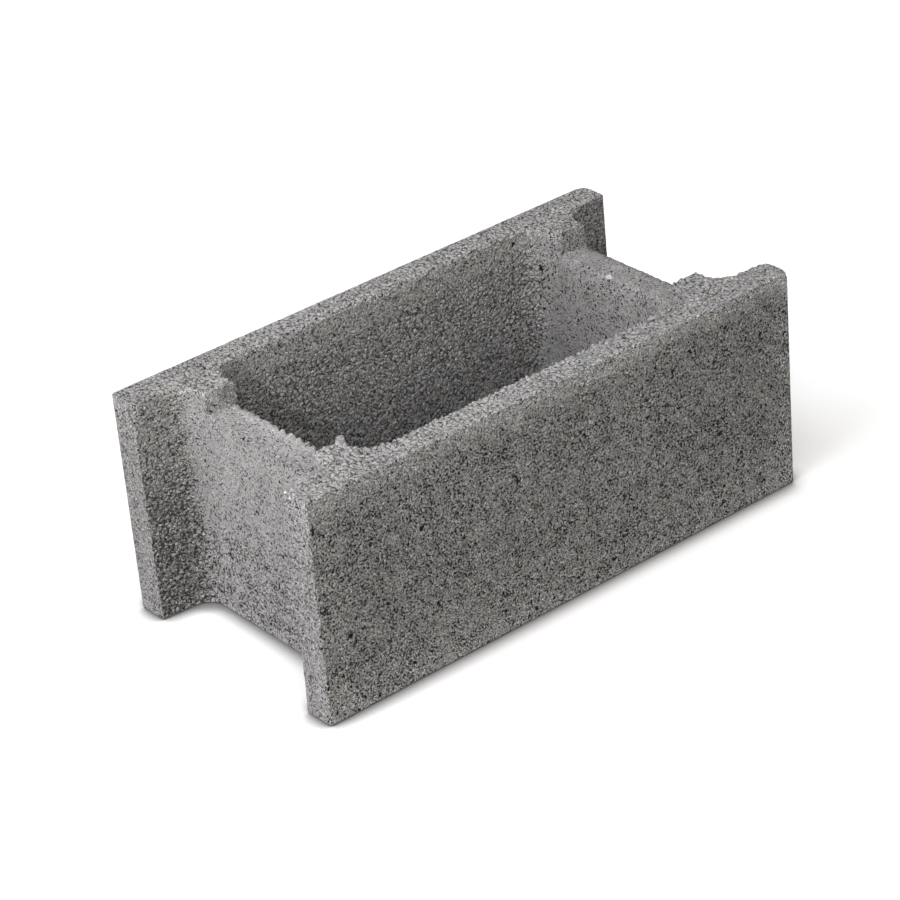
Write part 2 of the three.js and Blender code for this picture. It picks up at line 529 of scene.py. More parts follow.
    def heights(self, graph: Graph, fine: bool) -> Laid:
        """Builds the relief's nodes.

        Args:
            graph: Where the nodes go.
            fine: Whether sand, dust and joints, too small for the mesh, are laid too.

        Returns:
            The relief's height and depth, and the grains' tones.
        """
        position, lean = graph.position(), graph.mask(Mask.LEAN)
        _, noise = position.noise(self.warp_size)
        centred = noise.vector("SUBTRACT", (0.5, 0.5, 0.5))
        bend = centred.vector("MULTIPLY", (2.0 * self.warp_reach,) * 3)
        bent = position.vector("ADD", bend)
        nearest, colour = bent.cells(self.stone)
        top, grit_tone = self._tops(graph, bent, nearest)
        if fine:
            bed, sand_tone = self.grains(bent, self.sand, lean * self.sand_missing)
        else:
            bed, sand_tone = lean.blend(*self.bed), None
        level = graph.mask(Mask.PRESS).blend(*self.levels)
        depth = (level - top.math("MAXIMUM", bed)).math("MAXIMUM", 0.0)
        depth = depth.math("MINIMUM", lean.blend(*self.most_depth))
        depth = depth + self.holes(nearest, colour, lean) + graph.mask(Mask.SPOT)

        lump_seam = bent.seams(self.lump)
        rough = graph.mask(Mask.COARSE).step(*self.lump_limits)
        if fine:
            short, _ = position.noise(self.opening)
            chance = self.loose(graph).blend(short, noise.channels()[0])
            joints = self.joints(graph, bent.seams(self.stone), chance)
            # Thin cracks along the borders of the lumps.
            opened = chance.step(*self.crack_limits) * rough
            cracks = self.slit(lump_seam, self.crack_width, opened, self.crack_depth)
            depth += joints.math("MAXIMUM", cracks)
        else:
            depth *= graph.mask(Mask.ARRIS).blend(1.0, self.arris_share)
        # Round dips between the lumps.
        dip = self.lump_reach - lump_seam.math("MINIMUM", self.lump_reach)
        height = depth * -1.0 - dip * rough * self.swell
        if fine:
            height += position.noise(self.dust)[0] * self.dust_height
        return Laid(height, depth, colour.channels()[0], grit_tone, sand_tone)

    def _tops(self, graph: Graph, bent: Wire, nearest: Wire) -> tuple[Wire, Wire]:
        """The tops of the stones and the grit, before they are pressed.

        Args:
            graph: Where the nodes go.
            bent: The bent position.
            nearest: Distance to the nearest stone's middle, in stone widths.

        Returns:
            The height in millimetres, and a random tone for each grain of grit.
        """
        lean, coarse = graph.mask(Mask.LEAN), graph.mask(Mask.COARSE)
        stone = self.dome(nearest, self.stone, self.stone_fall)
        stone += coarse.blend(-self.stone_sunk, 0.0)
        grit, tone = self.grains(bent, self.grit, lean * self.grit_missing)
        # Fine faces hide their grit under the sand.
        grit -= coarse.step(0.0, self.grit_shows).blend(self.grit_sunk, 0.0)
        return stone.math("SMOOTH_MAX", grit, self.join_round), tone


@dataclass(frozen=True)
class ConcreteFinish:
    """Dry grey concrete, in linear colour. Bumps and specks are in metres.

    The greys go from cool to stained, the bumps and the painted shade in the pits from fine
    faces to coarse ones, and the grains' tones from dark to pale. Pits, joints and cracks
    are painted darker the deeper they lie, as painted shade in place of their shadow.
    """

    greys: tuple[Triple, Triple] = ((0.246, 0.243, 0.246), (0.250, 0.243, 0.237))
    roughness: float = 0.93
    specular: float = 0.18
    bumps: Pair = (0.9 * MM, 1.4 * MM)
    # Where the pits' painted shade starts and is full, by depth in millimetres, and how dark it
    # is on fine and on coarse faces.
    pit_limits: Pair = (0.48, 0.72)
    painted_pit_shades: Pair = (0.01, 0.22)
    stone_spread: float = 0.10
    grit_tones: Pair = (0.92, 1.32)
    sand_tones: Pair = (0.82, 1.42)
    pale_power: float = 3.0
    speck_spread: float = 2.4
    speck: float = 0.7 * MM
    least_factor: float = 0.04
    most_tone: float = 3.8

    def material(self, relief: GrainRelief) -> bpy.types.Material:
        """Makes the concrete's material.

        Args:
            relief: The relief that the finish darkens and bumps.

        Returns:
            The material.
        """
        material = bpy.data.materials.new("cast_concrete")
        material.use_nodes = True
        graph = Graph(material.node_tree)
        shader = material.node_tree.nodes["Principled BSDF"]
        laid = relief.heights(graph, fine=True)
        tone = self._tone(graph, laid, relief.loose(graph))
        for mark in MARKS:
            if mark.pale != 1.0:
                tone *= mark.tint(graph.position())
        tone = tone.math("MINIMUM", self.most_tone)
        grey = graph.mask(Mask.STAIN).blend(*self.greys)
        reach = graph.mask(Mask.COARSE).blend(*self.bumps)
        bump = {"Strength": 1.0, "Distance": reach, "Height": laid.height}
        graph.feed(shader, {
            "Base Color": grey.vector("MULTIPLY", tone),
            "Roughness": self.roughness,
            "Specular IOR Level": self.specular,
            "Normal": Wire(graph, graph.add("ShaderNodeBump", bump).outputs["Normal"]),
        })
        return material

    def _tone(self, graph: Graph, laid: Laid, loose: Wire) -> Wire:
        """Brightness against the plain grey: grains, specks and the painted shade in pits.

        Args:
            graph: Where the nodes go.
            laid: The relief.
            loose: How far the face is loose and not fine.

        Returns:
            The brightness, 1 for the plain grey.
        """
        def spread(value: Wire, share: float) -> Wire:
            """A factor that lies a share above or below 1."""
            return value.blend(1.0 - share, 1.0 + share)

        def grains(tone: Wire, tones: Pair) -> Wire:
            """A factor for each grain. Few are pale and most are dark."""
            return tone.math("POWER", self.pale_power).blend(*tones)

        speck, _ = graph.position().noise(self.speck)
        # Painted shade: the deeper a pit, joint or crack lies, the darker it is painted.
        pit = laid.depth.step(*self.pit_limits)
        grain, tone = graph.mask(Mask.GRAIN), graph.mask(Mask.TONE_AND_PAINTED_LIGHT)
        for factor in (
            spread(laid.stone_tone, self.stone_spread),
            grain.blend(1.0, grains(laid.grit_tone, self.grit_tones)),
            grain.blend(1.0, grains(laid.sand_tone, self.sand_tones)),
            grain.blend(1.0, spread(speck, self.speck_spread)),
            pit.blend(1.0, loose.blend(*self.painted_pit_shades)),
        ):
            tone *= factor.math("MAXIMUM", self.least_factor)
        return tone


def vectors(mesh: bpy.types.Mesh, name: str) -> np.ndarray:
    """Reads one vector of each point.

    Args:
        mesh: The mesh.
        name: "co" for the place, or "normal".

    Returns:
        The vectors, one row each.
    """
    values = np.empty(len(mesh.vertices) * 3, np.float32)
    mesh.vertices.foreach_get(name, values)
    return values.reshape(-1, 3)


def rise(value: np.ndarray, low: float, high: float) -> np.ndarray:
    """A smooth step of each value, from 0 at low to 1 at high, or falling if low is above."""
    share = np.clip((value - low) / (high - low), 0.0, 1.0)
    return share * share * (3.0 - 2.0 * share)


@dataclass(frozen=True)
class Zone:
    """How one kind of face came out of the mould, each value from 0 to about 1.

    Coarse is how far stones show, lean is how many pits there are, press is how flat the
    grains' tops are, grain is how far the grains differ in brightness, and tone is the
    brightness of the paste. Tone is partly painted light as well: the tops and the walls in
    the core and the recesses are painted paler than the outer faces.
    """

    coarse: float
    lean: float
    press: float
    grain: float = 1.0
    tone: float = 1.0


ZONE_MASKS = (Mask.COARSE, Mask.LEAN, Mask.PRESS, Mask.GRAIN, Mask.TONE_AND_PAINTED_LIGHT)


class Facing(Enum):
    """Which way a face looks."""

    ALONG = "along"
    ACROSS = "across"
    UP = "up"
    DOWN = "down"
    SLANTING = "slanting"


@dataclass(frozen=True)
class Region:
    """A box in one quarter of the block, in metres, that holds in all four quarters."""

    along: Pair = (0.0, 1.0)
    across: Pair = (0.0, 1.0)
    level: Pair = (0.0, 1.0)

    def holds(self, place: np.ndarray) -> np.ndarray:
        """Which points lie in the region.

        Args:
            place: Points, one row each.

        Returns:
            True or false for each point.
        """
        inside = np.ones(len(place), bool)
        for distance, (low, high) in zip(np.abs(place).T, (self.along, self.across, self.level)):
            inside &= (distance >= low) & (distance < high)
        return inside


class Face(Enum):
    """The kinds of face, by which way they look and where on the block they are."""

    WEB_INNER = (Facing.ALONG, Region(along=(0.0, 0.186)))
    WEB_OUTER = (Facing.ALONG, Region(along=(0.186, 0.235)))
    WING_END = (Facing.ALONG, Region(along=(0.235, 1.0)))
    CORE_WALL = (Facing.ACROSS, Region(along=(0.0, 0.186), across=(0.0, 0.115)))
    WING_INNER = (Facing.ACROSS, Region(along=(0.186, 1.0), across=(0.0, 0.115)))
    STEP = (Facing.ACROSS, Region((0.168, 0.204), (0.0, 0.115), (0.177, 1.0)))
    OUTER = (Facing.ACROSS, Region(across=(0.115, 1.0)))
    SADDLE = (Facing.UP, Region(level=(0.0, 0.19)))
    TOP = (Facing.UP, Region(level=(0.19, 1.0)))
    INNER_TOP = (Facing.UP, Region(along=(0.0, 0.225), level=(0.19, 1.0)))
    FOOT = (Facing.DOWN, Region())
    CORNER = (Facing.SLANTING, Region(across=(0.0, 0.115)))

    def __init__(self, facing: Facing, region: Region) -> None:
        """Keeps which way the face looks and where it is."""
        self.facing = facing
        self.region = region


class Reading(Enum):
    """What a ramp runs along. The ragged ones have wandering borders."""

    ALONG = "along"
    ACROSS = "across"
    HEIGHT = "ragged height"
    BELOW_TOP = "ragged height against the top"
    INWARD = "ragged distance from the middle plane"
    END = "ragged length"
    CORE_SHADE = "length and level, along the slanting shade in the core"


@dataclass(frozen=True)
class Ramp:
    """A soft step along one reading, from 0 at low to 1 at high, in metres."""

    reading: Reading
    low: float
    high: float


@dataclass(frozen=True)
class Surface:
    """What is known of the even mesh's points, with one value or row for each point."""

    place: np.ndarray
    faces: dict[Face, np.ndarray]
    readings: dict[Reading, np.ndarray]
    broad: np.ndarray


class Area:
    """One kind of face, as far as all its ramps are up."""

    def __init__(self, face: Face, *ramps: Ramp) -> None:
        """Keeps the kind of face and the ramps."""
        self.face = face
        self.ramps = ramps

    def weight(self, surface: Surface) -> np.ndarray:
        """How far each point lies in the area.

        Args:
            surface: The points.

        Returns:
            0 outside the area to 1 inside it.
        """
        weight = surface.faces[self.face]
        for ramp in self.ramps:
            weight = weight * rise(surface.readings[ramp.reading], ramp.low, ramp.high)
        return weight


@dataclass(frozen=True)
class Around:
    """A ball round one point, with a soft border, in metres."""

    middle: Triple
    reach: float

    def weight(self, surface: Surface) -> np.ndarray:
        """How far each point lies in the ball, from 0 outside it to 1 round its middle."""
        away = np.linalg.norm(surface.place - np.array(self.middle), axis=1)
        return rise(away, self.reach, 0.5 * self.reach)


@dataclass(frozen=True)
class Layer:
    """A zone that is laid over the ones before it."""

    area: Area | Around
    zone: Zone
    strength: float = 1.0


LEFT = Ramp(Reading.ALONG, 0.0, -MM)
RIGHT = Ramp(Reading.ALONG, 0.0, MM)
FRONT = Ramp(Reading.ACROSS, 0.0, -MM)
BACK = Ramp(Reading.ACROSS, 0.0, MM)
PAST_MIDDLE = Ramp(Reading.ALONG, -0.12, 0.02)
TO_THE_RIGHT = Ramp(Reading.ALONG, 0.06, 0.16)
TO_THE_LEFT = Ramp(Reading.ALONG, 0.05, -0.12)

WORKED_TOP = Area(Face.INNER_TOP, Ramp(Reading.INWARD, 0.114, 0.104))
WING_FOOT = Area(Face.WING_INNER, Ramp(Reading.HEIGHT, 0.17, 0.09))
WEB_FOOT = Area(Face.WEB_OUTER, Ramp(Reading.HEIGHT, 0.13, 0.02))
SMEARED = Zone(0.05, 0.18, 0.85, 0.95, 1.36)

# Each zone's tone is partly painted light: paler on the tops and in the core and the recesses.
LAYERS = (
    Layer(Area(Face.WEB_INNER), Zone(0.25, 0.42, 0.60, 0.45, 1.18)),
    Layer(Area(Face.WEB_OUTER), Zone(0.10, 0.36, 0.75, 0.45, 1.27)),
    Layer(Area(Face.CORE_WALL), Zone(0.55, 0.62, 0.42, 0.50, 1.42)),
    Layer(Area(Face.WING_INNER), Zone(0.45, 0.58, 0.50, 0.60, 1.43)),
    Layer(WING_FOOT, Zone(0.65, 0.80, 0.35, 0.90, 1.20)),
    Layer(Area(Face.STEP), Zone(0.10, 0.30, 0.75, 0.80, 1.27)),
    Layer(Area(Face.OUTER), Zone(0.25, 0.58, 0.50, 1.15, 1.15)),
    Layer(Area(Face.WING_END), Zone(0.20, 0.40, 0.60, 0.75, 1.15)),
    Layer(Area(Face.SADDLE), Zone(0.30, 0.36, 0.70, 0.50, 1.46)),
    Layer(Area(Face.TOP), Zone(0.55, 0.60, 0.55, 0.30, 1.50)),
    Layer(WORKED_TOP, Zone(0.80, 0.60, 0.50, 0.20, 1.54)),
    # The front left corner of the core stands out in lumps.
    Layer(Around((-0.165, -0.086, 0.2), 0.034), Zone(0.95, 0.56, 0.50, 0.20, 1.52)),
    Layer(Area(Face.FOOT), Zone(0.30, 0.30, 0.80)),
    # The mould's shoe smears the outer faces and the core's walls below the top.
    Layer(Area(Face.OUTER, Ramp(Reading.BELOW_TOP, -0.026, -0.012)), SMEARED, 0.8),
    Layer(Area(Face.CORE_WALL, Ramp(Reading.BELOW_TOP, -0.035, -0.020)), SMEARED, 0.35),
)

# What is added to a mask before the patches are laid.
CHANGES = (
    # The paste stays smoother in the upright corners.
    (Area(Face.CORNER), Mask.LEAN, -0.10),
    # The webs' outer faces are rougher towards the foot.
    (WEB_FOOT, Mask.LEAN, 0.25),
    (WEB_FOOT, Mask.PRESS, -0.10),
    (WEB_FOOT, Mask.GRAIN, 0.05),
    (WEB_FOOT, Mask.TONE_AND_PAINTED_LIGHT, 0.06),
)

# Painted light: the faces are paler towards the top and darker towards the foot, as the light
# falls from above.
PAINTED_TOP_LIGHT = (
    (Area(Face.WING_INNER, Ramp(Reading.HEIGHT, 0.16, 0.195)), 0.14),
    (Area(Face.WING_END, Ramp(Reading.HEIGHT, 0.14, 0.195)), 0.18),
    (Area(Face.WEB_OUTER, Ramp(Reading.HEIGHT, 0.12, 0.17)), 0.12),
)

# Where the paste is paler or darker, by the share given. Some rows are painted shade, as marked.
TONES_AND_PAINTED_SHADE = (
    # The right side is a little greyer than the left, and its web's top much greyer.
    (Area(Face.TOP, Ramp(Reading.ALONG, -0.10, 0.20)), -0.11),
    (Area(Face.SADDLE, RIGHT), -0.24),
    (Area(Face.STEP, RIGHT), -0.22),
    # Painted shadow on the inner faces of the right wings, up to a wandering edge.
    (Area(Face.WING_INNER, Ramp(Reading.END, 0.205, 0.215)), -0.32),
    # Painted shade in the core: darker towards its foot, and a painted shadow of the left web
    # left of a slanting line.
    (Area(Face.CORE_WALL, Ramp(Reading.HEIGHT, 0.13, 0.06)), -0.20),
    (Area(Face.CORE_WALL, Ramp(Reading.CORE_SHADE, 0.022, 0.004)), -0.20),
    # The front face is paler at both ends and at its foot.
    (Area(Face.OUTER, FRONT, Ramp(Reading.ALONG, 0.224, 0.246)), 0.28),
    (Area(Face.OUTER, FRONT, TO_THE_RIGHT, Ramp(Reading.HEIGHT, 0.03, 0.08)), -0.09),
    (Area(Face.OUTER, FRONT, Ramp(Reading.ALONG, -0.215, -0.235)), 0.10),
    (Area(Face.OUTER, FRONT, Ramp(Reading.HEIGHT, 0.06, 0.0)), 0.10),
    (Area(Face.WEB_OUTER, LEFT, Ramp(Reading.ACROSS, -0.02, -0.08)), 0.10),
    (Area(Face.WING_END, FRONT), 0.09),
    (Area(Face.TOP, BACK, Ramp(Reading.ALONG, -0.10, -0.18)), -0.07),
    (Area(Face.OUTER, FRONT, PAST_MIDDLE, Ramp(Reading.HEIGHT, 0.176, 0.192)), 0.16),
    (Area(Face.OUTER, FRONT, TO_THE_LEFT, Ramp(Reading.HEIGHT, 0.05, 0.0)), 0.14),
)


@dataclass(frozen=True)
class Pattern:
    """Smooth random waves of two lengths, in metres. Each start gives other waves."""

    length: float
    fine_length: float
    fine_share: float
    start: float


@dataclass
class SkinMap:
    """Spreads the zones over the even mesh, with soft and wandering borders.

    Reaches, lengths and limits on the block are in metres. A facing's limits are the
    share of the normal at which the facing starts, and at which it is full.
    """

    seed: int = 7
    waves_summed: int = 14
    # How the borders wander, and how unevenly the faces turn into one another.
    broad_wave: float = 45.0 * MM
    narrow_wave: float = 16.0 * MM
    narrow_start: float = 1.0
    wander: float = 4.0 * MM
    wander_shares: Pair = (0.7, 0.5)
    turn_shares: Pair = (0.10, 0.08)
    along_limits: Pair = (0.45, 0.95)
    across_limits: Pair = (0.35, 0.85)
    up_limits: Pair = (0.5, 0.8)
    down_limits: Pair = (0.35, 0.8)
    corner_limits: Pair = (0.15, 0.55)
    inward_wander: float = 1.3
    end_wander: float = 0.6
    core_shade_slope: float = 0.82
    # Patches of lean mix, a mottled tone and warm stains.
    patch: Pattern = Pattern(15.0 * MM, 7.0 * MM, 0.6, 2.0)
    patch_broad: float = 0.4
    least_lean: float = 0.58
    mottle: Pattern = Pattern(26.0 * MM, 11.0 * MM, 0.5, 4.0)
    mottle_share: float = 0.05
    stain: Pattern = Pattern(30.0 * MM, 12.0 * MM, 0.8, 6.0)
    pattern_limits: Pair = (-1.2, 1.2)
    # Crumbled inner rims, and the outer arrises that stay sharper.
    rim_angle: float = math.radians(15.0)
    rim_reach: float = 5.0 * MM
    arris_start: float = 1.0 * MM
    arris_reach: float = 3.5 * MM
    inner_limits: Pair = (0.117, 0.112)
    inner_region: Region = Region(along=(0.0, 0.225), level=(0.15, 1.0))
    ragged_region: Region = Region(level=(0.17, 1.0))
    web_end: float = 0.188
    wing_raggedness: float = 0.35
    top_raggedness: float = 0.5
    lumpy_rim: Around = Around((-0.175, -0.03, 0.18), 0.07)
    lumpy_gain: float = 0.9
    # Painted shade along the lip under the saddles' outer rims.
    lip_region: Region = Region((0.192, 1.0), (0.0, 0.085), (0.168, 0.19))
    lip_reach: float = 4.5 * MM
    painted_lip_shade: float = 0.24
    # The left web's inner rim, which was left standing a little proud.
    proud_region: Region = Region((0.0, 0.185), (0.0, 0.078), (0.17, 1.0))
    proud_reach: float = 8.0 * MM
    proud_height: float = 1.1

    def paint(self, mesh: bpy.types.Mesh, rim_points: np.ndarray) -> None:
        """Writes the masks on the points of the even mesh.

        Args:
            mesh: The even mesh, before the relief.
            rim_points: Points along the rounded edges.
        """
        surface = self._survey(mesh)
        near = self._distance(surface.place, rim_points)
        masks = self._zones(surface)
        self._shade(surface, near, masks)
        masks[Mask.STAIN] = rise(self._pattern(surface.place, self.stain), *self.pattern_limits)
        self._break_rims(surface, near, masks)
        masks[Mask.WORN] = sum(mark.dent(surface.place) for mark in WORN)
        for mask in Mask:
            layer = mesh.attributes.new(mask.value, "FLOAT", "POINT")
            layer.data.foreach_set("value", masks[mask].astype(np.float32))

    def _waves(self, place: np.ndarray, length: float) -> np.ndarray:
        """Smooth random waves of about one length, from -1 to 1.

        Args:
            place: Points, one row each.
            length: Mean wave length in metres.

        Returns:
            One value for each point.
        """
        rng = np.random.default_rng(self.seed)
        total = np.zeros(len(place))
        for _ in range(self.waves_summed):
            way = rng.normal(size=3)
            way *= 2.0 * math.pi / (length * rng.uniform(0.6, 1.6) * np.linalg.norm(way))
            total += np.sin(place @ way + rng.uniform(0.0, 2.0 * math.pi))
        return np.clip(total / math.sqrt(self.waves_summed), -1.0, 1.0)

    def _pattern(self, place: np.ndarray, pattern: Pattern) -> np.ndarray:
        """Random waves of two lengths.

        Args:
            place: Points, one row each.
            pattern: The two lengths and where the waves start.

        Returns:
            One value for each point.
        """
        coarse = self._waves(place + pattern.start, pattern.length)
        fine = self._waves(place + (pattern.start + 1.0), pattern.fine_length)
        return coarse + pattern.fine_share * fine

    def _survey(self, mesh: bpy.types.Mesh) -> Surface:
        """Reads the mesh and works out which face each point lies on.

        Args:
            mesh: The even mesh.

        Returns:
            What is known of the points.
        """
        place = vectors(mesh, "co").astype(float)
        normal = vectors(mesh, "normal")
        broad = self._waves(place, self.broad_wave)
        narrow = self._waves(place + self.narrow_start, self.narrow_wave)
        wander = self.wander * (self.wander_shares[0] * broad + self.wander_shares[1] * narrow)
        turn = self.turn_shares[0] * broad + self.turn_shares[1] * narrow

        along, across, up = np.abs(normal[:, 0]), np.abs(normal[:, 1]), normal[:, 2]
        slanting = (1.0 - np.abs(up)) * rise(np.minimum(along, across), *self.corner_limits)
        facings = {
            Facing.ALONG: rise(along + turn, *self.along_limits),
            Facing.ACROSS: rise(across + turn, *self.across_limits),
            Facing.UP: rise(up, *self.up_limits),
            Facing.DOWN: rise(-up, *self.down_limits),
            Facing.SLANTING: slanting,
        }
        faces = {face: facings[face.facing] * face.region.holds(place) for face in Face}
        x, y, level = place.T
        height = level + wander
        readings = {
            Reading.ALONG: x,
            Reading.ACROSS: y,
            Reading.HEIGHT: height,
            Reading.BELOW_TOP: height - (CAD_BOX[1][2] - CAD_BOX[0][2]),
            Reading.INWARD: np.abs(y) + self.inward_wander * wander,
            Reading.END: x + self.end_wander * wander,
            Reading.CORE_SHADE: x + self.core_shade_slope * level,
        }
        return Surface(place, faces, readings, broad)

    def _zones(self, surface: Surface) -> Masks:
        """Lays the zones over one another, and the patches of lean mix over them.

        Args:
            surface: The points.

        Returns:
            The masks that a zone sets.
        """
        base = LAYERS[0].zone
        masks = {
            mask: np.full(len(surface.place), getattr(base, mask.value)) for mask in ZONE_MASKS
        }
        for layer in LAYERS:
            weight = layer.area.weight(surface) * layer.strength
            for mask, value in masks.items():
                value += weight * (getattr(layer.zone, mask.value) - value)
        for area, mask, amount in CHANGES:
            masks[mask] += amount * area.weight(surface)
        patch = self._pattern(surface.place, self.patch) + self.patch_broad * surface.broad
        rich = rise(patch, *self.pattern_limits)
        masks[Mask.LEAN] *= self.least_lean + (1.0 - self.least_lean) * rich
        return masks

    def _shade(self, surface: Surface, near: np.ndarray, masks: Masks) -> None:
        """Makes the paste paler and darker from place to place: a random mottle, changes of tone,
        and painted light and shade.

        Args:
            surface: The points.
            near: How far each point is from a rounded edge, in metres.
            masks: The masks. The tone is changed.
        """
        tone = masks[Mask.TONE_AND_PAINTED_LIGHT]
        tone *= 1.0 + self.mottle_share * self._pattern(surface.place, self.mottle)
        for area, amount in PAINTED_TOP_LIGHT:
            tone += amount * area.weight(surface)
        for area, share in TONES_AND_PAINTED_SHADE:
            tone *= 1.0 + share * area.weight(surface)
        # Painted shade along the saddles' lips.
        lip = 1.0 - rise(near, self.arris_start, self.lip_reach)
        tone *= 1.0 - self.painted_lip_shade * lip * self.lip_region.holds(surface.place)

    def _break_rims(self, surface: Surface, near: np.ndarray, masks: Masks) -> None:
        """Adds the masks of the crumbled rims, the sharper arrises and the spots.

        Args:
            surface: The points.
            near: How far each point is from a rounded edge, in metres.
            masks: The masks. Three are added.
        """
        place = surface.place
        length = np.abs(place[:, 0])
        inner = rise(np.abs(place[:, 1]), *self.inner_limits) * self.inner_region.holds(place)
        ragged = inner * np.where(length < self.web_end, 1.0, self.wing_raggedness)
        ragged *= self.ragged_region.holds(place)
        ragged *= 1.0 + self.lumpy_gain * self.lumpy_rim.weight(surface)
        rim = (1.0 - rise(near, 0.0, self.rim_reach)) * ragged
        worked = WORKED_TOP.weight(surface)
        masks[Mask.RIM] = np.maximum(rim, self.top_raggedness * worked)
        arris = 1.0 - rise(near, self.arris_start, self.arris_reach)
        masks[Mask.ARRIS] = arris * (1.0 - inner)

        spot = sum(mark.dent(place) for mark in MARKS)
        proud = self.proud_region.holds(place) * (place[:, 0] < 0.0)
        proud_share = 1.0 - rise(near, self.arris_start, self.proud_reach)
        masks[Mask.SPOT] = spot - self.proud_height * proud * proud_share

    @staticmethod
    def _distance(place: np.ndarray, targets: np.ndarray) -> np.ndarray:
        """How far each place is from the nearest target.

        Args:
            place: Points in metres, one row each.
            targets: Points in metres, one row each.

        Returns:
            The distances in metres.
        """
        tree = KDTree(len(targets))
        for index, point in enumerate(targets):
            tree.insert(point, index)
        tree.balance()
        return np.array([tree.find(point)[2] for point in place.tolist()])


def placed(name: str, data: bpy.types.ID) -> bpy.types.Object:
    """Puts a new object into the scene.

    Args:
        name: The object's name.
        data: Its mesh, light or camera.

    Returns:
        The object.
    """
    item = bpy.data.objects.new(name, data)
    bpy.context.scene.collection.objects.link(item)
    return item


@dataclass
class CastBlock:
    """The casting's skin: the frame's own shape, with grains, pits and worn rims.

    Voxel and steps are in metres. Depths and heights are in millimetres. The limits of
    bulges and notches are distances from a lump's middle, in lump widths.
    """

    voxel: float = 1.2 * MM
    most_triangles: int = 196_000
    crisp_angle: float = math.radians(38.0)
    weld: float = 0.002 * MM
    rim_step: float = 2.0 * MM
    relief_share: float = 1.2
    most_sunk: float = 2.6
    bulge_limits: Pair = (0.5, 0.15)
    bulge_height: float = 1.3
    notch_limits: Pair = (0.4, 0.8)
    notch_depth: float = 1.4
    blur_weight: float = 0.6
    relief: GrainRelief = field(default_factory=GrainRelief)
    finish: ConcreteFinish = field(default_factory=ConcreteFinish)
    skin: SkinMap = field(default_factory=SkinMap)

    def build(self) -> bpy.types.Object:
        """Makes the skin as one closed mesh.

        Returns:
            The finished piece.
        """
        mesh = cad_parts[BLOCK_NODE].data.copy()
        mesh.name = "cast_block"
        piece = placed("cast_block", mesh)
        rim_points = self._rim_points(mesh)
        self._modify(
            piece, "even_faces", "REMESH",
            mode="VOXEL", voxel_size=self.voxel, use_smooth_shade=True,
        )
        self.skin.paint(piece.data, rim_points)
        self._modify(piece, "grain_relief", "NODES", node_group=self._relief_tree())
        triangles = sum(len(face.vertices) - 2 for face in piece.data.polygons)
        LOG.info("relief laid on %d triangles", triangles)
        if triangles > self.most_triangles:
            ratio = self.most_triangles / triangles
            self._modify(piece, "fewer_faces", "DECIMATE", ratio=ratio)
        self._keep_inside(piece.data)
        piece.data.shade_smooth()
        piece.data.set_sharp_from_angle(angle=self.crisp_angle)
        return piece

    def dress(self, piece: bpy.types.Object) -> None:
        """Gives the skin its finish and ties it to the frame.

        Args:
            piece: The skin.
        """
        piece.data.materials.clear()
        piece.data.materials.append(self.finish.material(self.relief))
        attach(piece, BODY)
        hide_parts(BLOCK_NODE)

    @staticmethod
    def _keep_inside(mesh: bpy.types.Mesh) -> None:
        """Holds every point inside the frame's own box.

        Args:
            mesh: The skin's mesh.
        """
        place = np.clip(vectors(mesh, "co"), *CAD_BOX)
        mesh.vertices.foreach_set("co", place.astype(np.float32).ravel())
        mesh.update()

    @staticmethod
    def _modify(piece: bpy.types.Object, name: str, kind: str, **settings: object) -> None:
        """Puts one modifier's result into the mesh.

        Args:
            piece: The object.
            name: The modifier's name.
            kind: The modifier's type.
            **settings: Values of the modifier's own properties.
        """
        modifier = piece.modifiers.new(name, kind)
        for key, value in settings.items():
            setattr(modifier, key, value)
        bpy.ops.object.select_all(action="DESELECT")
        bpy.context.view_layer.objects.active = piece
        piece.select_set(True)
        bpy.ops.object.modifier_apply(modifier=modifier.name)

    def _rim_points(self, mesh: bpy.types.Mesh) -> np.ndarray:
        """Points along every rounded edge of the frame's mesh.

        Args:
            mesh: A copy of the node's mesh, in metres.

        Returns:
            Points, one row each.
        """
        work = bmesh.new()
        work.from_mesh(mesh)
        bmesh.ops.remove_doubles(work, verts=work.verts, dist=self.weld)
        points = []
        for edge in work.edges:
            if len(edge.link_faces) != 2 or edge.calc_face_angle(0.0) < self.skin.rim_angle:
                continue
            start, end = (vertex.co for vertex in edge.verts)
            steps = max(1, int(edge.calc_length() / self.rim_step))
            points += [tuple(start.lerp(end, i / steps)) for i in range(steps + 1)]
        work.free()
        return np.array(points)

    def _relief_tree(self) -> bpy.types.NodeTree:
        """Nodes that sink the pits below the moulded faces and break the rims.

        Returns:
            The geometry node tree.
        """
        tree = bpy.data.node_groups.new("grain_relief", "GeometryNodeTree")
        tree.interface.new_socket("Geometry", in_out="INPUT", socket_type="NodeSocketGeometry")
        tree.interface.new_socket("Geometry", in_out="OUTPUT", socket_type="NodeSocketGeometry")
        graph = Graph(tree)
        source = graph.wire("NodeGroupInput")
        normal = graph.wire("GeometryNodeInputNormal")
        # A slight blur keeps the small faces from folding over one another.
        values = {"Value": self._shift(graph), "Iterations": 1, "Weight": self.blur_weight}
        blur = graph.add("GeometryNodeBlurAttribute", values, data_type="FLOAT")
        metres = Wire(graph, blur.outputs["Value"]) * MM
        values = {"Geometry": source, "Offset": normal.vector("MULTIPLY", metres)}
        move = graph.add("GeometryNodeSetPosition", values)
        graph.add("NodeGroupOutput", {0: Wire(graph, move.outputs[0])})
        return tree

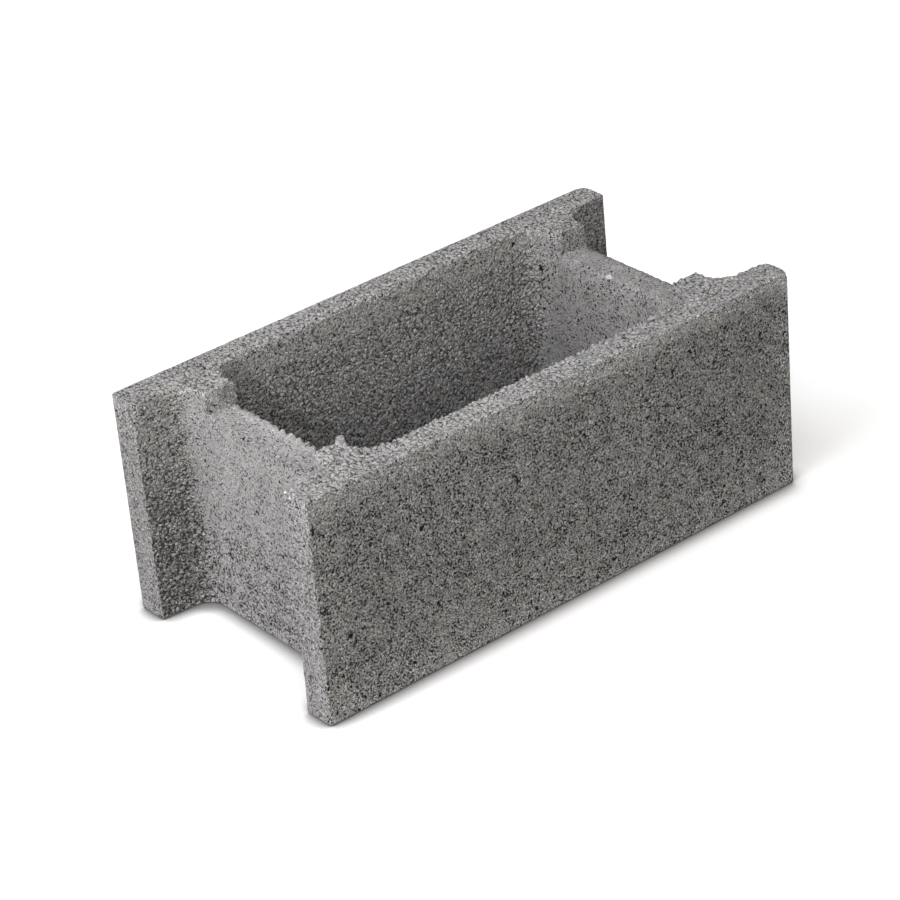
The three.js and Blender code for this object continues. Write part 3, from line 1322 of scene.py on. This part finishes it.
    def _shift(self, graph: Graph) -> Wire:
        """How far each point moves out along its normal.

        Args:
            graph: Where the nodes go.

        Returns:
            The distance in millimetres, below zero for a sunk point.
        """
        laid = self.relief.heights(graph, fine=False)
        sunk = (laid.height * self.relief_share).math("MAXIMUM", -self.most_sunk)
        lump, _ = graph.position().cells(self.relief.lump)
        bulge = lump.step(*self.bulge_limits) * self.bulge_height
        notch = lump.step(*self.notch_limits) * self.notch_depth
        chip = (bulge - notch) * graph.mask(Mask.RIM)
        return sunk + (chip - graph.mask(Mask.WORN))


def direction(azimuth: float, elevation: float) -> Vector:
    """The way from the block to a place round it.

    Args:
        azimuth: 0 in front of the block and 90 at its left end, in degrees.
        elevation: 0 on the level and 90 straight above, in degrees.

    Returns:
        The direction, of length 1.
    """
    azimuth, elevation = math.radians(azimuth), math.radians(elevation)
    level = math.cos(elevation)
    return Vector((-math.sin(azimuth) * level, -math.cos(azimuth) * level, math.sin(elevation)))


@dataclass(frozen=True)
class Softbox:
    """One square light that points at the block.

    Angles are in degrees and lengths in metres. Gain is the light that a white face
    turned towards it sends back.
    """

    name: str
    azimuth: float
    elevation: float
    gain: float
    tint: Triple = (1.0, 1.0, 1.0)
    distance: float = 5.0
    size: float = 3.0
    aim: Triple = (0.0, 0.0, 0.1)

    def build(self) -> bpy.types.Object:
        """Makes the light.

        Returns:
            The light.
        """
        data = bpy.data.lights.new(self.name, "AREA")
        data.shape = "SQUARE"
        data.size = self.size
        data.energy = self.gain * (math.pi * self.distance) ** 2
        data.color = self.tint
        light = placed(self.name, data)
        towards = direction(self.azimuth, self.elevation)
        light.location = Vector(self.aim) + towards * self.distance
        light.rotation_euler = towards.to_track_quat("Z", "Y").to_euler()
        return light


@dataclass(frozen=True)
class FloorFinish:
    """A pale matt floor, with a painted contact shadow that darkens it softly where the block
    touches it.
    """

    grey: float = 0.95
    contact_reach: float = 22.0 * MM
    painted_contact_shadow: float = 0.20
    open_limits: Pair = (0.45, 1.0)
    samples: int = 8
    roughness: float = 0.9
    specular: float = 0.1

    def material(self) -> bpy.types.Material:
        """Makes the floor's material.

        Returns:
            The material.
        """
        material = bpy.data.materials.new("pale_floor")
        material.use_nodes = True
        shader = material.node_tree.nodes["Principled BSDF"]
        graph = Graph(material.node_tree)
        # Painted contact shadow: the floor is painted darker where the block hides the space
        # round it.
        values = {"Distance": self.contact_reach}
        occlusion_for_painted_shadow = graph.add("ShaderNodeAmbientOcclusion", values, samples=self.samples)
        shade = Wire(graph, occlusion_for_painted_shadow.outputs["AO"]).step(*self.open_limits)
        graph.feed(shader, {
            "Base Color": shade.blend((self.grey * self.painted_contact_shadow,) * 3, (self.grey,) * 3),
            "Roughness": self.roughness,
            "Specular IOR Level": self.specular,
        })
        return material


@dataclass
class Studio:
    """A pale floor, broad soft lights and a pale surround."""

    floor_size: float = 12.0
    floor_finish: FloorFinish = field(default_factory=FloorFinish)
    surround: float = 0.20
    lights: tuple[Softbox, ...] = (
        Softbox("left_softbox", 90.0, 45.0, 0.71, (0.985, 0.979, 1.0)),
        Softbox("left_low_softbox", 105.0, 9.0, 0.80, (0.99, 0.981, 1.0)),
        Softbox("corner_softbox", 45.0, 16.0, 0.21, (1.0, 0.965, 0.91)),
        Softbox("front_softbox", 15.0, 25.0, 0.34, (1.0, 0.958, 0.85)),
        Softbox("top_softbox", 22.0, 65.0, 0.50, (0.975, 0.973, 1.0)),
        Softbox("right_softbox", 285.0, 25.0, 0.12, (1.0, 0.985, 0.95)),
        Softbox("back_softbox", 195.0, 25.0, 0.24),
    )

    def build(self) -> None:
        """Makes the floor, the surround and the lights."""
        scene = bpy.context.scene
        scene.view_settings.view_transform = "Standard"
        self._floor()
        world = bpy.data.worlds.new("pale_surround")
        world.use_nodes = True
        background = world.node_tree.nodes["Background"]
        background.inputs["Color"].default_value = (1.0, 1.0, 1.0, 1.0)
        background.inputs["Strength"].default_value = self.surround
        scene.world = world
        for softbox in self.lights:
            softbox.build()

    def _floor(self) -> bpy.types.Object:
        """The floor that the block stands on. It lights nothing itself.

        Returns:
            The floor.
        """
        half = self.floor_size / 2.0
        mesh = bpy.data.meshes.new("floor")
        corners = [(-half, -half, 0.0), (half, -half, 0.0), (half, half, 0.0), (-half, half, 0.0)]
        mesh.from_pydata(corners, [], [(0, 1, 2, 3)])
        floor = placed("floor", mesh)
        floor.visible_diffuse = False
        mesh.materials.append(self.floor_finish.material())
        return floor


@dataclass(frozen=True)
class Viewpoint:
    """Where the camera stands, in metres and degrees, and its lens in millimetres."""

    place: Triple = (-1.4099, -1.8149, 1.3914)
    heading: float = 37.520
    pitch_down: float = 29.507
    roll: float = -5.118
    lens: float = 129.535
    sensor: float = 36.0
    clip_start: float = 0.05
    clip_end: float = 50.0

    def build(self) -> bpy.types.Object:
        """Makes the camera and makes it the scene's own.

        Returns:
            The camera.
        """
        data = bpy.data.cameras.new("camera")
        data.sensor_width = self.sensor
        data.sensor_fit = "HORIZONTAL"
        data.lens = self.lens
        data.clip_start = self.clip_start
        data.clip_end = self.clip_end
        camera = placed("camera", data)
        forward = -direction(self.heading, self.pitch_down)
        level = forward.cross(Vector((0.0, 0.0, 1.0))).normalized()
        over = level.cross(forward)
        roll = math.radians(self.roll)
        right = level * math.cos(roll) + over * math.sin(roll)
        up = over * math.cos(roll) - level * math.sin(roll)
        turn = Matrix((right, up, -forward)).transposed()
        camera.matrix_world = Matrix.Translation(Vector(self.place)) @ turn.to_4x4()
        bpy.context.scene.camera = camera
        return camera


def main() -> None:
    """Builds the camera, the studio and the block in order."""
    logging.basicConfig(level=logging.INFO, format="%(name)s: %(message)s")
    Viewpoint().build()
    Studio().build()
    block = CastBlock()
    piece = block.build()
    block.dress(piece)
    LOG.info("%s: %d faces", piece.name, len(piece.data.polygons))


if __name__ == "__main__":
    main()
